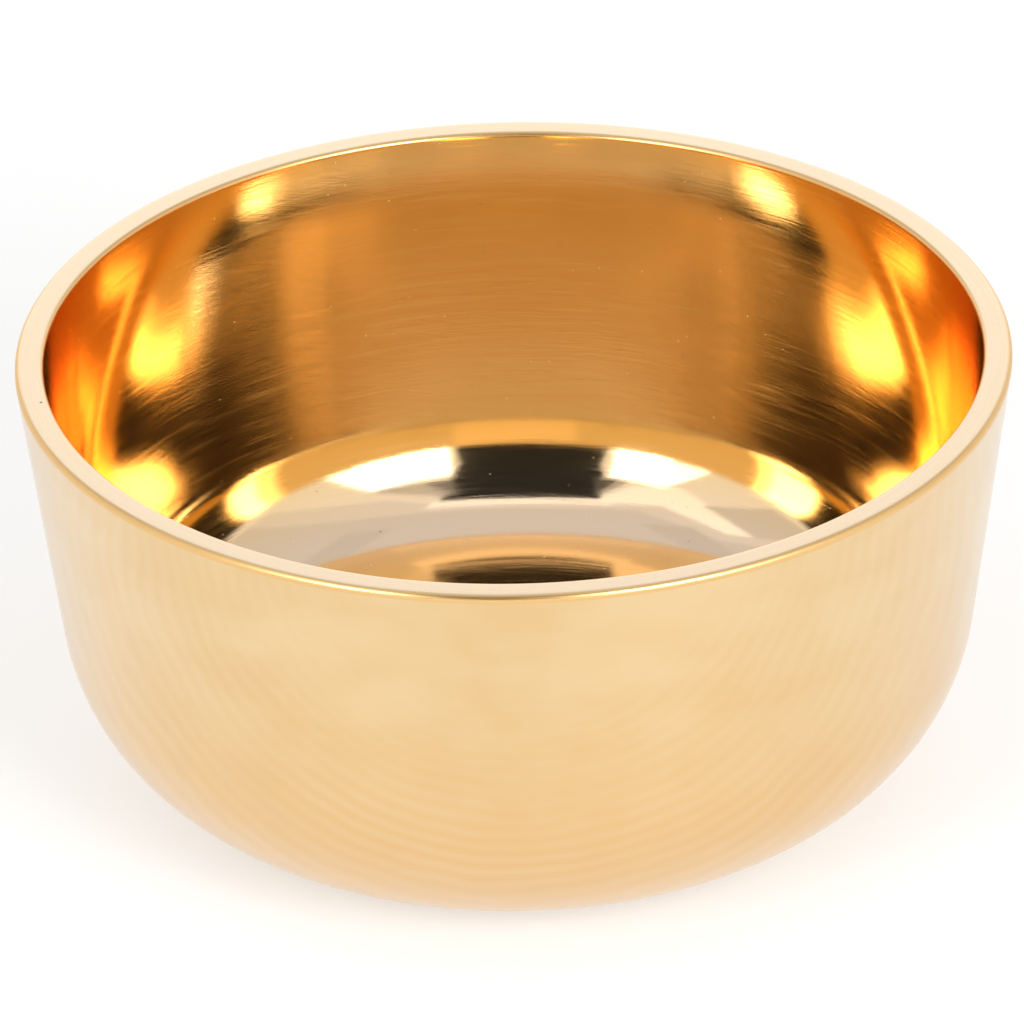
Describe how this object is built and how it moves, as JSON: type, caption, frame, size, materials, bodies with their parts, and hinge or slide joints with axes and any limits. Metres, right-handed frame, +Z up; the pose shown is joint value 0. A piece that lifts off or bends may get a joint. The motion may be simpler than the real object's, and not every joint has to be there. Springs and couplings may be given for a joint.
{
  "type": "offering bowl",
  "caption": "Small round turned brass offering bowl with a leaning wall, a flat lip with rounded edges, a broad rounded corner, a shallow dished floor and a flat base to stand on.",
  "frame": {"origin": "middle of the flat resting face under the bowl, on the axis of turning", "axes": "+Z up along the axis of turning, out of the bowl's mouth; the bowl is round, so +X and +Y may point any way"},
  "size_m": [0.1, 0.1, 0.0468],
  "materials": {
    "brass": "polished inside, satin turned outside"
  },
  "bodies": {
    "root": {"bowl": "brass"}
  },
  "joints": []
}
